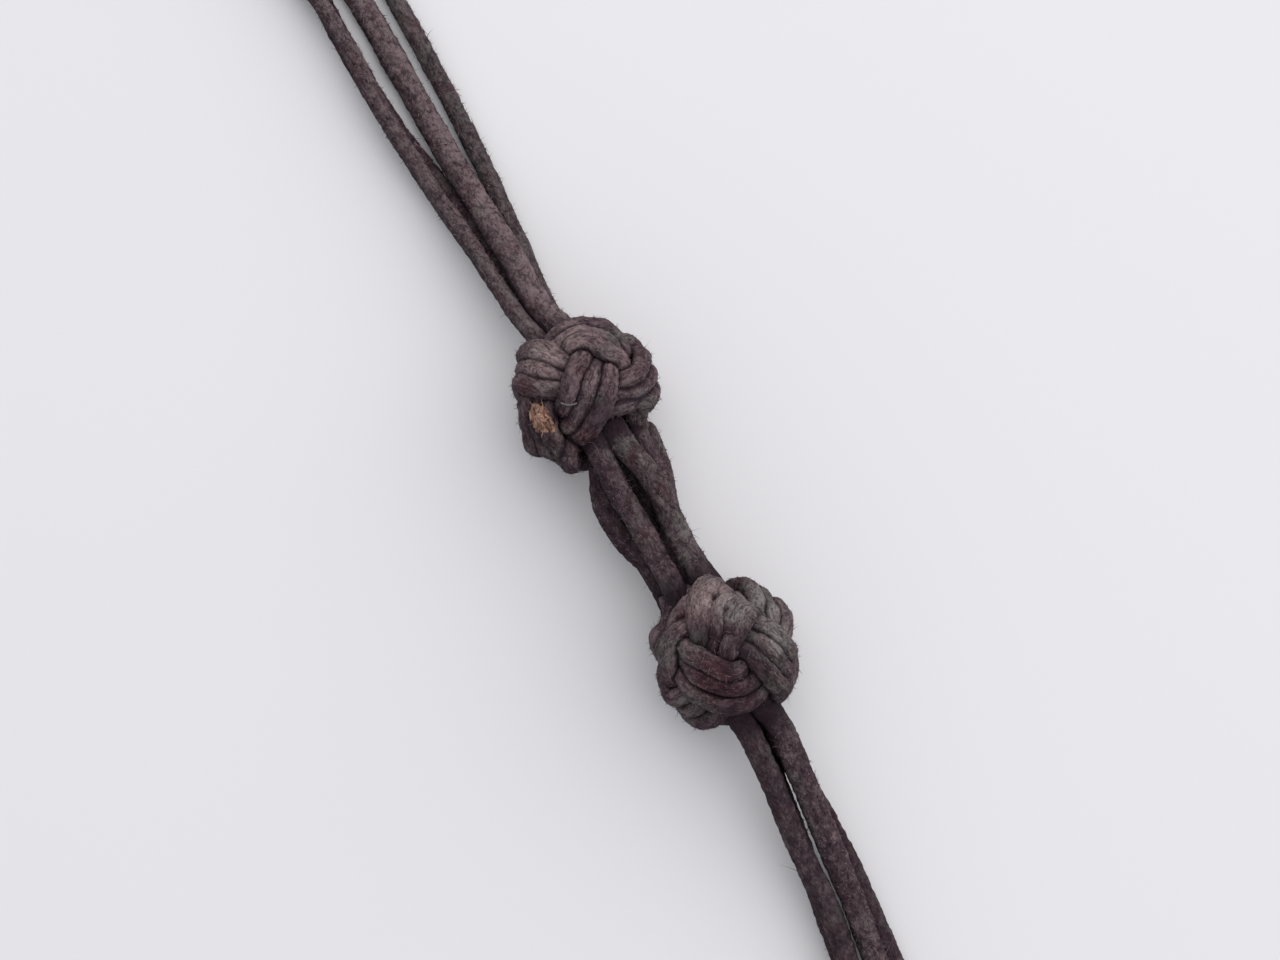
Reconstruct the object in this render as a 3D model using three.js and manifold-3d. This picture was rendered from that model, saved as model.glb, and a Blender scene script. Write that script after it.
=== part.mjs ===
// An adjustable cord necklace: four waxed-cotton cords laid in one long loop and run through two
// woven ball knots, which slide on the cords to make the loop longer or shorter.
// Millimetres, +Z up, lying on z = 0 with the origin under the middle of the loop. The closure runs
// along X on the far side, and the loop comes round towards -Y. Each cord is held in one ball, passes
// through the other, goes round the neck, passes through the first ball and is held in the second.

import * as THREE from "three";
import { mergeVertices } from "three/addons/utils/BufferGeometryUtils.js";
import Module from "manifold-3d";

// Driving dimensions
const CORD_RADIUS = 0.7; // to the corners of the eight-sided section
const CORD_SIDES = 8;
const CORD_LYING = CORD_RADIUS * Math.cos(Math.PI / CORD_SIDES); // centre of a cord that lies flat
const CORDS = 4;
const LONG_STEP = 14; // the longest facet along a cord
const SHORT_SPAN = 12; // spans under this are cut in two
const NUDGE = 0.02; // part of a step, to each side of a point, over which its direction is taken
const LAP_NUDGE = 1e-4; // the same on a ball's cord, as a part of a lap
const MERGE_WITHIN = 1e-5; // corners this near are one
const SIMPLIFY_WITHIN = 0.01; // slivers under this go from the joined ball

const KNOT = {
  leads: 3, // times the cord goes round the ball before it meets its start
  bights: 5, // turns at each end of the ball
  passes: 3, // cords side by side
  cordRadius: 0.63,
  cordSides: 6,
  pitch: 1.3, // between neighbouring passes
  pitchRadius: 4.3, // where the pitch is measured
  reach: THREE.MathUtils.degToRad(36), // how far the middle pass swings from the ball's waist
  flatten: 0.05, // rounds the turns at each end
  shift: THREE.MathUtils.degToRad(-0.5), // moves the weave away from the wider mouth
  waistRadius: 3.7, // middle of the two layers at the waist
  layer: 0.7, // half the distance between the upper and the lower layer
  flare: 1.7, // how much further out the ends of the ball lie
  laneChange: 0.1, // part of a lap in which the cord moves over to the next pass
  stepsPerBight: 9,
};

// All places below are measured from the middle of the closure, which lies here from the origin
const CLOSURE = [-0.07, 78.23, 0];

// Each ball's middle, the direction of its wider mouth, and its turn about that direction
const BALLS = {
  knot_a: { centre: [-10.1, -0.06, 5.08], mouth: [0.97, -0.01, 0.243], turn: 102 },
  knot_b: { centre: [10, 0.11, 4.98], mouth: [-0.983, 0.133, -0.125], turn: 41.5 },
};

// Routes. In the closure each row is a section across the cords at one x,
// with [y, z] of the four cords in order.

// From the end held in knot_b, between the balls and through knot_a
const HELD_IN_B = [
  [4.6, [-1.0, 7.05], [-1.65, 4.85], [0.98, 7.1], [0.3, 1.95]],
  [2.4, [-0.98, 6.95], [-1.8, 4.95], [0.94, 7.1], [-0.1, 2.1]],
  [-0.2, [-1.05, 6.9], [-2.5, 5.0], [1.15, 7.1], [-0.3, 2.9]],
  [-2.8, [-1.2, 6.95], [-2.46, 5.05], [1.15, 7.15], [0.35, 3.9]],
  [-6.4, [-1.05, 6.9], [-0.97, 5.15], [0.45, 6.9], [0.65, 5.15]],
  [-13.6, [-0.9, 5.15], [-0.9, 3.4], [0.85, 5.15], [0.85, 3.4]],
  [-17, [-1.55, 4.25], [-0.9, 2.6], [0.06, 4.35], [0.62, 2.65]],
  [-22, [-2.0, 3.2], [-1.0, 1.7], [0.0, 3.2], [1.0, 1.7]],
  [-29, [-2.72, 2.3], [-2.08, 0.75], [-0.39, 1.6], [1.42, 0.75]],
  [-35, [-3.2, 2.2], [-3.0, 0.68], [-0.6, 0.8], [1.54, 0.65]],
];

// The loop: middle of the four cords, with each cord's distance outwards from it and its lift
const LOOP = [
  { x: -42, y: -1.2, out: [-2.05, -2.1, 0.44, 2.7], lift: [1.55, 0, 0, 0] },
  { x: -54, y: -2.1, out: [-2.9, -1.2, 0.4, 2.8], lift: [1.0, 0, 0, 0] },
  { x: -68, y: -4, out: [-3.6, -1.6, 0.4, 2.9], lift: [0, 0, 0, 0] },
  { x: -93, y: -15, out: [-3.2, -1.3, 1.2, 3.2], lift: [0, 0, 0, 0] },
  { x: -113, y: -35, out: [-3.9, -1.0, 1.0, 2.9], lift: [0, 0, 0, 0] },
  { x: -122, y: -62, out: [-3.1, -1.1, 1.5, 3.8], lift: [0, 0, 0, 0] },
  { x: -118, y: -91, out: [-4.1, -1.9, 0.2, 3.3], lift: [0, 0, 0, 0] },
  { x: -102, y: -117, out: [-4.6, -1.6, 0.9, 2.8], lift: [0, 0, 0, 0] },
  { x: -77, y: -138, out: [-3.4, -1.4, 1.6, 4.2], lift: [0, 0, 0, 0] },
  { x: -47, y: -151, out: [-3.9, -1.2, 1.0, 4.4], lift: [0, 0, 0, 0] },
  { x: -14, y: -157, out: [-4.8, -2.0, 0.6, 3.0], lift: [0, 0, 0, 0] },
  { x: 20, y: -157, out: [-4.4, -1.3, 1.2, 3.5], lift: [0, 0, 0, 0] },
  { x: 52, y: -150, out: [-3.2, -1.2, 1.9, 4.5], lift: [0, 0, 0, 0] },
  { x: 82, y: -136, out: [-3.6, -1.5, 1.4, 3.6], lift: [0, 0, 0, 0] },
  { x: 106, y: -114, out: [-4.5, -1.8, 0.5, 3.1], lift: [0, 0, 0, 0] },
  { x: 120, y: -86, out: [-3.7, -1.1, 1.1, 3.9], lift: [0, 0, 0, 0] },
  { x: 121, y: -57, out: [-3.1, -1.2, 1.6, 3.7], lift: [0, 0, 0, 0] },
  { x: 109, y: -32, out: [-3.4, -1.4, 1.2, 3.1], lift: [0, 0, 0, 0] },
  { x: 87, y: -15, out: [-3.5, -1.5, 0.7, 2.9], lift: [0, 0, 0, 0] },
  { x: 62, y: -6.5, out: [-2.9, -1.1, 0.9, 2.8], lift: [0.3, 0, 0.3, 0] },
  { x: 42, y: -2.9, out: [-1.7, -0.8, 0.7, 2.4], lift: [1.6, 0, 1.2, 0] },
];

// Through knot_b and between the balls, to the end held in knot_a
const HELD_IN_A = [
  [31, [-2.14, 2.6], [-2.41, 1.0], [-0.33, 2.6], [0.69, 1.15]],
  [24, [-1.65, 3.8], [-1.44, 2.1], [0.33, 3.9], [0.9, 2.25]],
  [18, [-1.14, 5.2], [-0.86, 3.5], [0.88, 5.3], [0.6, 3.6]],
  [15.8, [-1.05, 5.75], [-0.95, 4.0], [0.95, 5.85], [0.62, 4.1]],
  [13.5, [-1.22, 6.2], [-1.22, 4.45], [0.53, 6.2], [0.53, 4.45]],
  [6.4, [-0.28, 5.33], [-0.28, 3.58], [1.47, 5.33], [1.47, 3.58]],
  [2.8, [0.05, 5.35], [-0.45, 3.7], [1.3, 4.4], [1.25, 2.8]],
  [0, [1.15, 5.45], [-0.85, 4.6], [1.4, 3.8], [1.2, 2.2]],
  [-2.6, [1.84, 5.75], [-1.25, 4.15], [2.16, 4.2], [0.8, 2.4]],
  [-4.7, [1.85, 5.9], [-1.15, 3.25], [2.52, 4.5], [0.3, 2.9]],
];

const UP = new THREE.Vector3(0, 0, 1);

function ballMaterial() {
  return new THREE.MeshStandardMaterial({ color: 0x4f4345, roughness: 0.85, metalness: 0 });
}

function strandMaterial() {
  return new THREE.MeshStandardMaterial({ color: 0x473a3b, roughness: 0.8, metalness: 0 });
}

// A regular section with one flat facet facing down
function cordSection(radius, sides) {
  const shape = new THREE.Shape();
  for (let i = 0; i < sides; i += 1) {
    const angle = ((i + 0.5) / sides) * 2 * Math.PI - Math.PI / 2;
    const x = radius * Math.cos(angle);
    const y = radius * Math.sin(angle);
    if (i === 0) shape.moveTo(x, y);
    else shape.lineTo(x, y);
  }
  return shape;
}

// A route swept with its section upright: the section's top looks along `upAt(point)`
class UprightRoute extends THREE.Curve {
  constructor(pointAt, upAt) {
    super();
    this.pointAt = pointAt;
    this.upAt = upAt;
  }

  getPoint(u, target = new THREE.Vector3()) {
    return target.copy(this.pointAt(u));
  }

  getPointAt(u, target) {
    return this.getPoint(u, target);
  }

  computeFrenetFrames(steps) {
    const frames = { tangents: [], normals: [], binormals: [] };
    const nudge = NUDGE / steps;
    for (let i = 0; i <= steps; i += 1) {
      const u = i / steps;
      const tangent = this.pointAt(u + nudge).sub(this.pointAt(u - nudge)).normalize();
      const normal = this.upAt(this.pointAt(u)).cross(tangent).normalize();
      frames.tangents.push(tangent);
      frames.normals.push(normal);
      frames.binormals.push(tangent.clone().cross(normal));
    }
    return frames;
  }
}

function sweep(route, radius, sides, steps) {
  const section = cordSection(radius, sides);
  return new THREE.ExtrudeGeometry(section, { extrudePath: route, steps, bevelEnabled: false });
}

// Each cord's points beside the loop's middle line. The loop runs anticlockwise seen from above,
// so its outside lies to the right.
function loopPoints(strand) {
  const middle = LOOP.map((row) => new THREE.Vector3(row.x, row.y, CORD_LYING));
  return LOOP.map((row, i) => {
    const before = middle[Math.max(i - 1, 0)];
    const after = middle[Math.min(i + 1, middle.length - 1)];
    const outwards = after.clone().sub(before).normalize().cross(UP);
    const point = middle[i].clone().addScaledVector(outwards, row.out[strand]);
    point.z += row.lift[strand];
    return point;
  });
}

function closurePoints(rows, strand) {
  return rows.map((row) => new THREE.Vector3(row[0], ...row[strand + 1]));
}

// One cord of the loop, with short steps near the balls and longer ones round the neck
function strandGeometry(strand) {
  const points = [
    ...closurePoints(HELD_IN_B, strand),
    ...loopPoints(strand),
    ...closurePoints(HELD_IN_A, strand),
  ];
  const line = new THREE.CatmullRomCurve3(points);
  const spans = points.length - 1;
  const stops = [0];
  for (let i = 0; i < spans; i += 1) {
    const span = points[i].distanceTo(points[i + 1]);
    const cuts = span < SHORT_SPAN ? 2 : Math.ceil(span / LONG_STEP);
    for (let k = 1; k <= cuts; k += 1) stops.push((i + k / cuts) / spans);
  }
  const steps = stops.length - 1;
  const pointAt = (u) => {
    const place = THREE.MathUtils.clamp(u, 0, 1) * steps;
    const stop = Math.min(Math.floor(place), steps - 1);
    const point = line.getPoint(THREE.MathUtils.lerp(stops[stop], stops[stop + 1], place - stop));
    point.z = Math.max(point.z, CORD_LYING);
    return point;
  };
  return sweep(new UprightRoute(pointAt, () => UP.clone()), CORD_RADIUS, CORD_SIDES, steps);
}

// The direction from a ball's middle to the middle pass of its cord, `laps` round the ball, in the
// ball's own frame with its wider mouth along +X. The cord swings between the ball's two ends.
function weaveDirection(laps) {
  const swing = KNOT.bights * 2 * Math.PI * laps;
  const latitude = KNOT.shift + KNOT.reach * (Math.cos(swing) - KNOT.flatten * Math.cos(3 * swing));
  const round = -KNOT.leads * 2 * Math.PI * laps;
  const across = Math.cos(latitude);
  return new THREE.Vector3(Math.sin(latitude), across * Math.cos(round), across * Math.sin(round));
}

// A point on the wound cord, which moves over to the next pass at the end of each lap, and rises
// over and dips under the rounds that it crosses
function weavePoint(laps) {
  const lap = THREE.MathUtils.clamp(Math.floor(laps), 0, KNOT.passes - 1);
  const intoChange = (laps - lap - 1 + KNOT.laneChange) / KNOT.laneChange;
  const change = lap < KNOT.passes - 1 ? THREE.MathUtils.smoothstep(intoChange, 0, 1) : 0;
  const lane = lap + change - (KNOT.passes - 1) / 2;
  const middle = weaveDirection(laps);
  const ahead = weaveDirection(laps + LAP_NUDGE).sub(weaveDirection(laps - LAP_NUDGE));
  const side = ahead.cross(middle).normalize();
  const angle = (lane * KNOT.pitch) / KNOT.pitchRadius;
  const direction = middle.multiplyScalar(Math.cos(angle)).addScaledVector(side, Math.sin(angle));
  const rise = KNOT.layer * Math.sin((KNOT.leads - 1) * KNOT.bights * 2 * Math.PI * laps);
  const radius = KNOT.waistRadius + KNOT.flare * direction.x ** 2 + rise;
  return direction.multiplyScalar(radius);
}

// The wound ball: its cord is swept one bight at a time, and the lengths are joined into one solid
async function wovenBall() {
  const wasm = await Module();
  wasm.setup();
  const count = KNOT.passes * KNOT.bights;
  const lengths = [];
  for (let i = 0; i < count; i += 1) {
    const pointAt = (u) => weavePoint((i + u) / KNOT.bights);
    const route = new UprightRoute(pointAt, (point) => point.clone());
    lengths.push(toSolid(wasm, sweep(route, KNOT.cordRadius, KNOT.cordSides, KNOT.stepsPerBight)));
  }
  const ball = wasm.Manifold.union(lengths);
  return toGeometry(ball.simplify(SIMPLIFY_WITHIN));
}

function toSolid(wasm, geometry) {
  geometry.deleteAttribute("normal");
  geometry.deleteAttribute("uv");
  const merged = mergeVertices(geometry, MERGE_WITHIN);
  const vertProperties = new Float32Array(merged.attributes.position.array);
  const triVerts = new Uint32Array(merged.index.array);
  return new wasm.Manifold(new wasm.Mesh({ numProp: 3, vertProperties, triVerts }));
}

function toGeometry(solid) {
  const mesh = solid.getMesh();
  const geometry = new THREE.BufferGeometry();
  geometry.setAttribute("position", new THREE.BufferAttribute(mesh.vertProperties, 3));
  geometry.setIndex(new THREE.BufferAttribute(mesh.triVerts, 1));
  geometry.computeVertexNormals();
  return geometry;
}

// Turn a ball so that its wider mouth looks along `mouth`, then by `turn` degrees about it
function ballRotation({ mouth, turn }) {
  const x = new THREE.Vector3(...mouth).normalize();
  const y = UP.clone().addScaledVector(x, -x.dot(UP)).normalize();
  const z = x.clone().cross(y);
  const facing = new THREE.Matrix4().makeBasis(x, y, z);
  facing.multiply(new THREE.Matrix4().makeRotationX(THREE.MathUtils.degToRad(turn)));
  return new THREE.Quaternion().setFromRotationMatrix(facing);
}

const necklace = new THREE.Group();
necklace.position.set(...CLOSURE);

const ballGeometry = await wovenBall();
for (const [name, ball] of Object.entries(BALLS)) {
  const mesh = new THREE.Mesh(ballGeometry.clone(), ballMaterial());
  mesh.name = name;
  mesh.position.set(...ball.centre);
  mesh.quaternion.copy(ballRotation(ball));
  necklace.add(mesh);
}

for (let strand = 0; strand < CORDS; strand += 1) {
  const mesh = new THREE.Mesh(strandGeometry(strand), strandMaterial());
  mesh.name = `strand_${strand + 1}`;
  necklace.add(mesh);
}

export default necklace;
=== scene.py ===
"""A cord necklace with two sliding ball knots, lying on a pale surface.

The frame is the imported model's: +X along the closure from ball a to ball b, +Y from the front of
the loop towards the closure, +Z up off the surface. Tables and shapes are in millimetres from the
middle of the closure. new_piece brings them to metres and to their place.
"""

import math

import bpy
import numpy as np
from bpy.props import FloatProperty, FloatVectorProperty, IntProperty, PointerProperty
from mathutils import Matrix, Vector, noise


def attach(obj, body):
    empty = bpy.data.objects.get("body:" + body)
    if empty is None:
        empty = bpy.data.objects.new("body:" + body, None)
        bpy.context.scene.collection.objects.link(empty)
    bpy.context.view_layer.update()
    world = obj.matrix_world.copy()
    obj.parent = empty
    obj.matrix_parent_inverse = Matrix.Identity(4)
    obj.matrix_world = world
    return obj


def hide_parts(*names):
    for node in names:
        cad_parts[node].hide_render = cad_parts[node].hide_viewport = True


bl_info = {
    "name": "Ball Knot Necklace",
    "version": (1, 0, 0),
    "blender": (4, 5, 0),
    "location": "3D View > Sidebar > Necklace",
    "description": "Lays the waxed-cotton cords of a necklace and winds its two ball knots",
    "category": "Add Mesh",
}

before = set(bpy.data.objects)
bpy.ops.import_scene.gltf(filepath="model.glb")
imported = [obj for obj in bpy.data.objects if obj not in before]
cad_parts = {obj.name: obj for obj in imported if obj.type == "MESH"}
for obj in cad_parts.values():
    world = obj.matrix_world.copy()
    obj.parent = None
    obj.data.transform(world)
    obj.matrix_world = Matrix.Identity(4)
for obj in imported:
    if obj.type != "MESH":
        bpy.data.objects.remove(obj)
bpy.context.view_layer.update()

MM = 0.001
CLOSURE = np.array([-0.07, 78.23, 0.0])  # the middle of the closure in the model's frame
UP = np.array([0.0, 0.0, 1.0])

# Along the surface: the camera's right, and away from the viewer
RIGHT = np.array([0.4705, 0.8826, 0.0])
AWAY = np.array([-0.8826, 0.4705, 0.0])

CORD_LYING = 0.65  # how high on the surface a cord's centre line lies

# How each ball is wound: one cord round a Turk's head of three leads and five bights, three times
LEADS = 3
BIGHTS = 5
PASSES = 3
PASS_PITCH = 1.3  # between neighbouring passes
PITCH_RADIUS = 4.3  # where the pitch is measured
REACH = math.radians(36)  # how far the middle pass swings from the ball's waist
FLATTEN = 0.05  # rounds the turns at each end
SHIFT = math.radians(-0.5)  # moves the weave away from the wider mouth
WAIST_RADIUS = 3.7  # to between the two layers
LAYER = 0.7  # half the distance between the upper and the lower layer
FLARE = 1.7  # how much further out the ends of the ball lie
LANE_CHANGE = 0.1  # part of a lap in which the cord moves over to the next pass
LAID_POINTS = 3000  # in which it is first drawn
NUDGE = 1e-4  # part of a lap over which the cord's direction is taken

# How the wound cord finds room
WOBBLE = 0.1
WOBBLE_REACH = 3.5  # length of cord in which the wobble changes
LAID_STEP = 0.33  # between the points that settle
ROOM = 1.27  # between neighbouring rounds
SETTLING_ROUNDS = 60
PUSH = 0.6  # part of an overlap that one round of settling takes away
EVENING = 0.15  # how fast bends even out
HOLD = 0.03  # how fast the cord is drawn back to where it was laid
TUCKED_LENGTH = 3.2  # of each end, run on into the ball
TURN_IN = 0.22  # how fast a tucked end turns inwards
BALL_WIDTH = 10.3

# Each ball's middle, the direction of its wider mouth, and its turn in degrees about that direction
BALLS = {
    "knot_a": {"centre": (-10.1, -0.06, 5.08), "mouth": (0.97, -0.01, 0.243), "turn": 102},
    "knot_b": {"centre": (10, 0.11, 4.98), "mouth": (-0.983, 0.133, -0.125), "turn": 41.5},
}

# How the tightened weave differs from ball to ball:
#   length: along its mouths
#   paleness: how much paler it is all over
#   drawn: where its rounds are drawn out of place: x, y, z, reach, then how far in x, y and z
#   swollen: where its cord is swollen: x, y, z, times wider, then how far moved
#   pressed: where its rounds are pressed flat: x, y, z, reach, times wider
#   spots of grey bloom, redder dye, dust, fading, rubbing and painted shade: x, y and radius of
#     each; the dust, fading and rubbing spots are partly painted highlight where the ball faces the
#     light
#   pricked: x, y of each hole
#   mouth_shade: painted shade on the strands within the first distance from its middle, and
#     none beyond the second
TIGHTENED = {
    "knot_a": {
        "length": 8.75,
        "paleness": 0.3,
        "drawn": [
            (-7.4, -4.0, 4.5, 2.6, 0.2, -0.4, 0),
            (-9.7, 4.6, 5.5, 2.6, 0.12, 0.45, 0),
            (-12.0, -4.1, 5.2, 1.8, 0.15, 0.3, 0),
            (-13.9, -3.0, 5.5, 1.8, -0.15, -0.25, 0),
            (-6.7, 1.7, 7.9, 2.3, -0.65, 0.05, -0.1),
        ],
        "swollen": [],
        "pressed": [(-13.4, -1.4, 8.0, 2.0, 1.15)],
        "greyed": [(-6.9, 3.2, 1.6), (-12.2, 3.6, 1.0), (-7.2, -3.8, 1.0), (-8.6, 0.4, 0.7)],
        "reddened": [(-6.9, -1.6, 1.2), (-11.9, -3.4, 1.0), (-8.6, -2.5, 1.0)],
        "dusty_and_lit": [(-12.4, -2.2, 2.6), (-12.6, 0.9, 2.4), (-9.9, 2.6, 2.0), (-9.6, 0.8, 1.4)],
        "faded_and_lit": [(-13.0, -1.8, 2.0), (-13.5, 0.8, 1.6), (-8.0, -2.7, 0.8)],
        "rubbed_and_lit": [],
        "shaded": [(-7.9, 0.0, 1.9), (-10.3, -2.2, 0.8), (-9.3, -3.9, 1.6)],
        "pricked": [],
        "mouth_shade": (4.4, 5.6),
    },
    "knot_b": {
        "length": 9.4,
        "paleness": 0.1,
        "drawn": [
            (6.6, 3.9, 6.5, 3.4, 0.92, -0.85, 0),
            (6.7, 0.3, 8.2, 2.4, -0.7, 0.05, 0.1),
            (6.2, -3.0, 6.4, 1.8, 0.5, 0.3, -0.2),
        ],
        "swollen": [(7.9, 2.2, 8.5, 1.6, -0.15, -0.35, 0.3)],
        "pressed": [(6.4, 0.2, 8.6, 2.5, 1.4), (7.7, 1.4, 9.3, 1.6, 1.25)],
        "greyed": [
            (7.8, 1.8, 1.7), (11.2, 2.8, 2.3), (8.4, -1.3, 1.0), (8.6, 3.9, 1.9),
            (12.2, -3.7, 1.6), (8.2, -3.3, 1.6), (13.4, 1.8, 1.6),
        ],
        "reddened": [(11.3, -1.6, 2.0), (13.0, -0.6, 1.6), (6.4, -1.3, 0.7)],
        "dusty_and_lit": [(6.0, 0.6, 2.6), (7.0, -2.8, 2.8), (8.9, -3.4, 2.2), (11.2, -3.8, 1.8)],
        "faded_and_lit": [(5.9, 0.0, 1.9), (6.6, 1.4, 1.2)],
        "rubbed_and_lit": [(7.8, 2.0, 1.5), (7.6, 3.6, 1.5), (9.6, 3.8, 1.8), (11.0, 3.5, 1.3)],
        "shaded": [
            (13.8, -0.8, 2.6), (12.2, 1.1, 1.5), (10.0, 1.3, 1.2), (8.4, -0.8, 1.1),
            (10.8, -0.3, 1.0),
        ],
        "pricked": [(6.41, 0.97)],
        "mouth_shade": (5.4, 7.8),
    },
}

# In the closure each row is a section across the cords at one x, with (y, z) of cords 1 to 4.
# From the end held in ball b, between the balls and through ball a:
HELD_IN_B = [
    (4.6, (-1.0, 7.05), (-1.65, 4.85), (0.98, 7.1), (0.3, 1.95)),
    (2.4, (-0.98, 6.95), (-1.8, 4.95), (0.94, 7.1), (-0.1, 2.1)),
    (-0.2, (-1.05, 6.9), (-2.5, 5.0), (1.15, 7.1), (-0.3, 2.9)),
    (-2.8, (-1.2, 6.95), (-2.46, 5.05), (1.15, 7.15), (0.35, 3.9)),
    (-6.4, (-1.05, 6.9), (-0.97, 5.15), (0.45, 6.9), (0.65, 5.15)),
    (-13.6, (-0.9, 5.15), (-0.9, 3.4), (0.85, 5.15), (0.85, 3.4)),
    (-17, (-1.55, 4.25), (-0.9, 2.6), (0.06, 4.35), (0.62, 2.65)),
    (-22, (-2.0, 3.2), (-1.0, 1.7), (0.0, 3.2), (1.0, 1.7)),
    (-29, (-2.72, 2.3), (-2.08, 0.75), (-0.39, 1.6), (1.42, 0.75)),
    (-35, (-3.2, 2.2), (-3.0, 0.68), (-0.6, 0.8), (1.54, 0.65)),
]

# The loop: x, y of the middle of the four cords, each cord's distance outwards from it, its lift
LOOP = [
    (-42, -1.2, (-2.05, -2.1, 0.44, 2.7), (1.55, 0, 0, 0)),
    (-54, -2.1, (-2.9, -1.2, 0.4, 2.8), (1.0, 0, 0, 0)),
    (-68, -4, (-3.6, -1.6, 0.4, 2.9), (0, 0, 0, 0)),
    (-93, -15, (-3.2, -1.3, 1.2, 3.2), (0, 0, 0, 0)),
    (-113, -35, (-3.9, -1.0, 1.0, 2.9), (0, 0, 0, 0)),
    (-122, -62, (-3.1, -1.1, 1.5, 3.8), (0, 0, 0, 0)),
    (-118, -91, (-4.1, -1.9, 0.2, 3.3), (0, 0, 0, 0)),
    (-102, -117, (-4.6, -1.6, 0.9, 2.8), (0, 0, 0, 0)),
    (-77, -138, (-3.4, -1.4, 1.6, 4.2), (0, 0, 0, 0)),
    (-47, -151, (-3.9, -1.2, 1.0, 4.4), (0, 0, 0, 0)),
    (-14, -157, (-4.8, -2.0, 0.6, 3.0), (0, 0, 0, 0)),
    (20, -157, (-4.4, -1.3, 1.2, 3.5), (0, 0, 0, 0)),
    (52, -150, (-3.2, -1.2, 1.9, 4.5), (0, 0, 0, 0)),
    (82, -136, (-3.6, -1.5, 1.4, 3.6), (0, 0, 0, 0)),
    (106, -114, (-4.5, -1.8, 0.5, 3.1), (0, 0, 0, 0)),
    (120, -86, (-3.7, -1.1, 1.1, 3.9), (0, 0, 0, 0)),
    (121, -57, (-3.1, -1.2, 1.6, 3.7), (0, 0, 0, 0)),
    (109, -32, (-3.4, -1.4, 1.2, 3.1), (0, 0, 0, 0)),
    (87, -15, (-3.5, -1.5, 0.7, 2.9), (0, 0, 0, 0)),
    (62, -6.5, (-2.9, -1.1, 0.9, 2.8), (0.3, 0, 0.3, 0)),
    (42, -2.9, (-1.7, -0.8, 0.7, 2.4), (1.6, 0, 1.2, 0)),
]

# Through ball b and between the balls, to the end held in ball a
HELD_IN_A = [
    (31, (-2.14, 2.6), (-2.41, 1.0), (-0.33, 2.6), (0.69, 1.15)),
    (24, (-1.65, 3.8), (-1.44, 2.1), (0.33, 3.9), (0.9, 2.25)),
    (18, (-1.14, 5.2), (-0.86, 3.5), (0.88, 5.3), (0.6, 3.6)),
    (15.8, (-1.05, 5.75), (-0.95, 4.0), (0.95, 5.85), (0.62, 4.1)),
    (13.5, (-1.22, 6.2), (-1.22, 4.45), (0.53, 6.2), (0.53, 4.45)),
    (6.4, (-0.28, 5.33), (-0.28, 3.58), (1.47, 5.33), (1.47, 3.58)),
    (2.8, (0.05, 5.35), (-0.45, 3.7), (1.3, 4.4), (1.25, 2.8)),
    (0, (1.15, 5.45), (-0.85, 4.6), (1.4, 3.8), (1.2, 2.2)),
    (-2.6, (1.84, 5.75), (-1.25, 4.15), (2.16, 4.2), (0.8, 2.4)),
    (-4.7, (1.85, 5.9), (-1.15, 3.25), (2.52, 4.5), (0.3, 2.9)),
]

# Each cord's width in four places: between the balls, beyond ball a, beyond ball b, and between
# the balls again, at the end that ball a holds. Then how much paler it is, mostly as painted
# highlight on its side facing the light, how greyed, and how much painted shade it has, beyond
# ball a, between the balls and beyond ball b
STRANDS = {
    "strand_1": {
        "widths": (1.65, 1.25, 1.62, 1.3),
        "dusty_and_lit": (0.4, 0.08, 0.0),
        "greyed": (0.32, 0.1, 0.25),
        "shaded": (0.12, 0.22, 0.45),
    },
    "strand_2": {
        "widths": (1.52, 1.45, 1.52, 1.65),
        "dusty_and_lit": (0.0, 0.0, 0.0),
        "greyed": (0.0, 0.0, 0.0),
        "shaded": (0.4, 0.35, 0.4),
    },
    "strand_3": {
        "widths": (1.68, 1.88, 1.74, 1.3),
        "dusty_and_lit": (0.65, 0.1, 0.05),
        "greyed": (0.25, 0.45, 0.15),
        "shaded": (0.0, 0.05, 0.15),
    },
    "strand_4": {
        "widths": (1.6, 1.35, 1.52, 1.65),
        "dusty_and_lit": (0.15, 0.0, 0.0),
        "greyed": (0.75, 0.2, 0.1),
        "shaded": (0.24, 0.4, 0.53),
    },
}
MARK_STATIONS = (-16, -5, 5, 16)  # a cord's marks change inside the balls, from x to x
RUN_ON = np.array([1.7, 0.0, -0.9])  # from a held end further into ball b
LEAVES_BALL = 21.0  # length of cord from a held end to where it comes out of the other ball
WIDTH_CHANGE = 6.0  # length of cord before that place in which its width changes
NECK_CHANGE = (0.4, 0.6)  # parts of a cord's length between which its width changes again

# In a mouth the strands are squeezed wider: by this part within the first distance from the
# ball's middle, and not beyond the second
MOUTH_WIDENING = 0.15
MOUTH_REACH = (4.0, 6.5)

# Rings are close together in the closure and far apart round the neck
FINE_STEP = 0.125
COARSE_STEP = 1.1
STEPS_WIDEN = (50, 70)  # distances along x between which the one gives way to the other
CLOSURE_FRONT = -12  # the y beyond which the loop has left the closure
SHADE_REACHES = 48  # distance along x within which strands press together and are painted with shade

STRAND_SIDES = 26
BALL_SIDES = 36
BALL_STEP = 0.118  # between the rings of a ball's cord
ROUND_EVERY = 4  # every fourth ring stands for a round where crevices are looked for
FAR = 9.0  # added to a distance that isn't to count

# Painted shade in the crevices: none further than the first distance from another cord's
# middle, full nearer than the second
STRAND_CREVICE = (1.35, 0.8)
BALL_CREVICE = (1.0, 0.66)
OWN_ROUND = 1.6  # length of a ball's own cord, each way, that makes no crevice

SWOLLEN_LENGTHS = (2.4, 0.3)  # of cord each way: no swelling beyond, and all of it within
INNER_DRAWN = 0.3  # part of the reach within which rounds are fully drawn out of place
INNER_PRESSED = 0.4  # the same for pressed rounds
FULLY_FLAT = 0.4  # how much wider a fully flat round is
INNER_SPOT = 0.35  # part of a spot's radius within which it is full

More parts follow.
